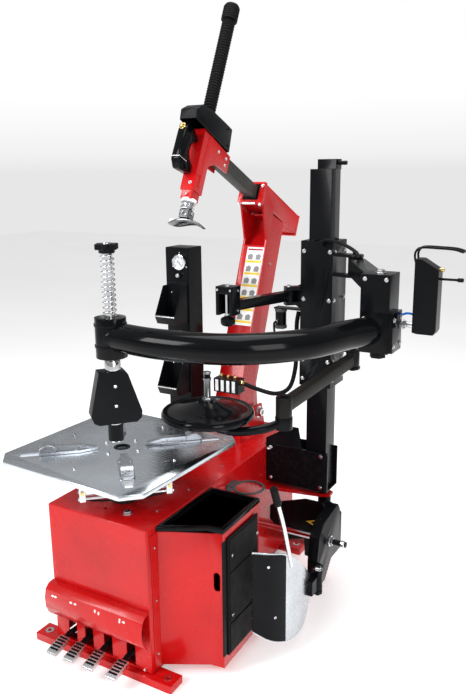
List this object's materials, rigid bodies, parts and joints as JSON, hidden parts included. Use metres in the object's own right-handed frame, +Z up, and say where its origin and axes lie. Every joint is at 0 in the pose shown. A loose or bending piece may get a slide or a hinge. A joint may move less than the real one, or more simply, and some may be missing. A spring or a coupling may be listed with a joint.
{
  "type": "tyre changer",
  "caption": "Tilt-back tyre changer with a clamping turntable, tool head arm, powered helper arms, side bead breaker and pedals.",
  "frame": {"origin": "on the floor, on the turntable's axis", "axes": "+Z up, -Y the front with the pedals, +X the side with the bead breaker and the helper post"},
  "size_m": [1.3526, 1.609, 2.2768],
  "materials": {
    "air_hose": "black rubber",
    "base_frame": "glossy red enamel",
    "bead_pad": "black rubber",
    "bead_roller": "moulded black plastic",
    "breaker_arm": "black powder coat, semi gloss",
    "breaker_blade": "bright zinc or ground steel",
    "breaker_cylinder": "satin",
    "breaker_rod": "hard chrome",
    "bucket_ring": "dark painted casting",
    "cabinet_shell": "glossy red enamel",
    "clamp_cylinder_1": "satin",
    "clamp_cylinder_2": "satin",
    "column_pin": "bright zinc or ground steel",
    "control_box": "black powder coat, semi gloss",
    "disc_arm": "dark painted casting",
    "disc_link": "dark grey oxide finish",
    "drive_belt": "black rubber",
    "drive_motor": "dark painted casting",
    "front_hood": "glossy red enamel",
    "gauge_tower": "black powder coat, semi gloss",
    "gearbox": "dark painted casting",
    "gearbox_pulley": "bright zinc or ground steel",
    "head_body": "glossy red enamel",
    "head_handle": "moulded black plastic",
    "head_hood": "moulded black plastic",
    "helper_post": "black powder coat, semi gloss",
    "jaw_1": "bright zinc or ground steel",
    "jaw_2": "bright zinc or ground steel",
    "jaw_3": "bright zinc or ground steel",
    "jaw_4": "bright zinc or ground steel",
    "lever_grip": "black rubber",
    "lift_carriage": "black powder coat, semi gloss",
    "lift_disc": "moulded black plastic",
    "lock_button": "polished brass",
    "motor_pulley": "bright zinc or ground steel",
    "mount_head": "hard chrome",
    "pedal_1": "bright zinc or ground steel",
    "pedal_2": "bright zinc or ground steel",
    "pedal_3": "bright zinc or ground steel",
    "pedal_4": "bright zinc or ground steel",
    "post_bracket": "black powder coat, semi gloss",
    "press_arm": "black powder coat, semi gloss",
    "press_knob": "moulded black plastic",
    "press_link": "black powder coat, semi gloss",
    "press_pad": "black rubber",
    "press_rod": "hard chrome",
    "press_spring": "bright zinc or ground steel",
    "pressure_gauge": "satin",
    "roller_arm": "black powder coat, semi gloss",
    "shaft_bellows": "black rubber",
    "side_box": "glossy red enamel",
    "tilt_column": "glossy red enamel",
    "tilt_cylinder": "satin",
    "tilt_rod": "hard chrome",
    "tool_arm": "dark grey oxide finish",
    "tool_holder": "moulded black plastic",
    "tool_shaft": "hard chrome",
    "tray_liner": "moulded black plastic",
    "turntable_hub": "dark painted casting",
    "turntable_plate": "bright zinc or ground steel"
  },
  "bodies": {
    "cabinet": {"base_frame": "base_frame", "cabinet_shell": "cabinet_shell", "front_hood": "front_hood", "side_box": "side_box", "tray_liner": "tray_liner", "bead_pad": "bead_pad", "bucket_ring": "bucket_ring", "gauge_tower": "gauge_tower", "pressure_gauge": "pressure_gauge", "tool_holder": "tool_holder", "gearbox": "gearbox", "drive_motor": "drive_motor", "drive_belt": "drive_belt", "breaker_cylinder": "breaker_cylinder", "tilt_cylinder": "tilt_cylinder", "post_bracket": "post_bracket", "helper_post": "helper_post", "air_hose": "air_hose", "column_pin": "column_pin"},
    "turntable": {"turntable_hub": "turntable_hub", "turntable_plate": "turntable_plate", "clamp_cylinder_1": "clamp_cylinder_1", "clamp_cylinder_2": "clamp_cylinder_2"},
    "gear_pulley": {"gearbox_pulley": "gearbox_pulley"},
    "drive_pulley": {"motor_pulley": "motor_pulley"},
    "column": {"tilt_column": "tilt_column"},
    "tilt_piston": {"tilt_rod": "tilt_rod"},
    "arm": {"tool_arm": "tool_arm", "head_body": "head_body", "head_hood": "head_hood", "head_handle": "head_handle"},
    "button": {"lock_button": "lock_button"},
    "shaft": {"tool_shaft": "tool_shaft", "shaft_bellows": "shaft_bellows", "mount_head": "mount_head"},
    "carriage": {"lift_carriage": "lift_carriage"},
    "press_link_bar": {"press_link": "press_link"},
    "press_swing": {"press_arm": "press_arm", "control_box": "control_box"},
    "presser": {"press_rod": "press_rod", "press_knob": "press_knob", "press_pad": "press_pad", "press_spring": "press_spring"},
    "disc_link_bar": {"disc_link": "disc_link"},
    "disc_swing": {"disc_arm": "disc_arm"},
    "disc": {"lift_disc": "lift_disc"},
    "roller_swing": {"roller_arm": "roller_arm"},
    "roller": {"bead_roller": "bead_roller"},
    "breaker": {"breaker_arm": "breaker_arm"},
    "breaker_piston": {"breaker_rod": "breaker_rod"},
    "blade": {"breaker_blade": "breaker_blade", "lever_grip": "lever_grip"},
    "pedal_lever_1": {"pedal_1": "pedal_1"},
    "clamp_jaw_1": {"jaw_1": "jaw_1"},
    "pedal_lever_2": {"pedal_2": "pedal_2"},
    "clamp_jaw_2": {"jaw_2": "jaw_2"},
    "pedal_lever_3": {"pedal_3": "pedal_3"},
    "clamp_jaw_3": {"jaw_3": "jaw_3"},
    "pedal_lever_4": {"pedal_4": "pedal_4"},
    "clamp_jaw_4": {"jaw_4": "jaw_4"}
  },
  "joints": [
    {"name": "pedal_1_press", "type": "hinge", "parent": "cabinet", "child": "pedal_lever_1", "pos_m": [-0.132, -0.06, 0.075], "axis": [1, 0, 0], "range_deg": [0, 7], "stiffness_Nm_per_rad": 8, "springref_deg": -20.05},
    {"name": "pedal_2_press", "type": "hinge", "parent": "cabinet", "child": "pedal_lever_2", "pos_m": [-0.058, -0.06, 0.075], "axis": [1, 0, 0], "range_deg": [0, 7], "stiffness_Nm_per_rad": 8, "springref_deg": -20.05},
    {"name": "pedal_3_press", "type": "hinge", "parent": "cabinet", "child": "pedal_lever_3", "pos_m": [0.026, -0.06, 0.075], "axis": [1, 0, 0], "range_deg": [0, 7], "stiffness_Nm_per_rad": 8, "springref_deg": -20.05},
    {"name": "pedal_4_press", "type": "hinge", "parent": "cabinet", "child": "pedal_lever_4", "pos_m": [0.124, -0.06, 0.075], "axis": [1, 0, 0], "range_deg": [0, 7], "stiffness_Nm_per_rad": 8, "springref_deg": -20.05},
    {"name": "turntable_spin", "type": "hinge", "parent": "cabinet", "child": "turntable", "pos_m": [0, 0, 0], "axis": [0, 0, 1], "continuous": true},
    {"name": "gear_pulley_spin", "type": "hinge", "parent": "cabinet", "child": "gear_pulley", "pos_m": [-0.125, 0.03, 0.385], "axis": [1, 0, 0], "continuous": true},
    {"name": "drive_pulley_spin", "type": "hinge", "parent": "cabinet", "child": "drive_pulley", "pos_m": [-0.125, 0.03, 0.165], "axis": [1, 0, 0], "continuous": true},
    {"name": "jaw_1_slide", "type": "slide", "parent": "turntable", "child": "clamp_jaw_1", "axis": [0.7431, 0.6691, 0], "range_m": [0, 0.1]},
    {"name": "jaw_2_slide", "type": "slide", "parent": "turntable", "child": "clamp_jaw_2", "axis": [-0.6691, 0.7431, 0], "range_m": [0, 0.1]},
    {"name": "jaw_3_slide", "type": "slide", "parent": "turntable", "child": "clamp_jaw_3", "axis": [-0.7431, -0.6691, 0], "range_m": [0, 0.1]},
    {"name": "jaw_4_slide", "type": "slide", "parent": "turntable", "child": "clamp_jaw_4", "axis": [0.6691, -0.7431, 0], "range_m": [0, 0.1]},
    {"name": "column_tilt", "type": "hinge", "parent": "cabinet", "child": "column", "pos_m": [0, 0.848, 0.624], "axis": [1, 0, 0], "range_deg": [-0.5, 25]},
    {"name": "tilt_piston_slide", "type": "slide", "parent": "cabinet", "child": "tilt_piston", "axis": [0, 0, 1], "range_m": [-0.0564, 0.0012]},
    {"name": "arm_reach", "type": "slide", "parent": "column", "child": "arm", "axis": [0, -0.9063, 0.4226], "range_m": [-0.04, 0.15]},
    {"name": "button_press", "type": "slide", "parent": "arm", "child": "button", "axis": [0, 0.9063, -0.4226], "range_m": [0, 0.005], "stiffness_N_per_m": 400, "springref_m": -0.005},
    {"name": "shaft_lower", "type": "slide", "parent": "arm", "child": "shaft", "axis": [0, -0.4226, -0.9063], "range_m": [0, 0.28], "deforming": ["shaft_bellows"]},
    {"name": "carriage_lift", "type": "slide", "parent": "cabinet", "child": "carriage", "axis": [0, 0, 1], "range_m": [-0.035, 0.27]},
    {"name": "press_link_swing", "type": "hinge", "parent": "carriage", "child": "press_link_bar", "pos_m": [0.575, 0.655, 1.315], "axis": [0, 0, 1], "range_deg": [-12, 60]},
    {"name": "press_arm_swing", "type": "hinge", "parent": "press_link_bar", "child": "press_swing", "pos_m": [0.812, 0.222, 1.315], "axis": [0, 0, 1], "range_deg": [-20, 60]},
    {"name": "presser_drop", "type": "slide", "parent": "press_swing", "child": "presser", "axis": [0, 0, 1], "range_m": [-0.05, 0], "stiffness_N_per_m": 400, "springref_m": 0.25, "deforming": ["press_spring"]},
    {"name": "disc_link_swing", "type": "hinge", "parent": "carriage", "child": "disc_link_bar", "pos_m": [0.575, 0.655, 0.97], "axis": [0, 0, 1], "range_deg": [-5, 60]},
    {"name": "disc_arm_swing", "type": "hinge", "parent": "disc_link_bar", "child": "disc_swing", "pos_m": [0.52, 0.186, 0.915], "axis": [0, 0, 1], "range_deg": [-20, 60]},
    {"name": "disc_spin", "type": "hinge", "parent": "disc_swing", "child": "disc", "pos_m": [0.283, 0.103, 0.88], "axis": [0, 0, 1], "continuous": true},
    {"name": "roller_arm_swing", "type": "hinge", "parent": "carriage", "child": "roller_swing", "pos_m": [0.318, 0.64, 1.19], "axis": [0, 0, 1], "range_deg": [-25, 25]},
    {"name": "roller_spin", "type": "hinge", "parent": "roller_swing", "child": "roller", "pos_m": [0.222, 0.345, 1.138], "axis": [0, 0, 1], "continuous": true},
    {"name": "breaker_swing", "type": "hinge", "parent": "cabinet", "child": "breaker", "pos_m": [0.45, 0.715, 0.27], "axis": [0, 0, 1], "range_deg": [-1, 25]},
    {"name": "breaker_piston_slide", "type": "slide", "parent": "cabinet", "child": "breaker_piston", "axis": [1, 0, 0], "range_m": [-0.0031, 0.0735]},
    {"name": "blade_adjust", "type": "hinge", "parent": "breaker", "child": "blade", "pos_m": [0.56, 0.4, 0.19], "axis": [0, 0, 1], "range_deg": [-3, 8]}
  ],
  "couplings": [
    {"joint": "jaw_2_slide", "follows": "jaw_1_slide", "ratio": 1},
    {"joint": "jaw_3_slide", "follows": "jaw_1_slide", "ratio": 1},
    {"joint": "jaw_4_slide", "follows": "jaw_1_slide", "ratio": 1},
    {"joint": "gear_pulley_spin", "follows": "turntable_spin", "ratio": -50},
    {"joint": "drive_pulley_spin", "follows": "turntable_spin", "ratio": -92.593},
    {"joint": "tilt_piston_slide", "follows": "column_tilt", "m_per_rad": -0.129},
    {"joint": "breaker_piston_slide", "follows": "breaker_swing", "m_per_rad": 0.168}
  ]
}
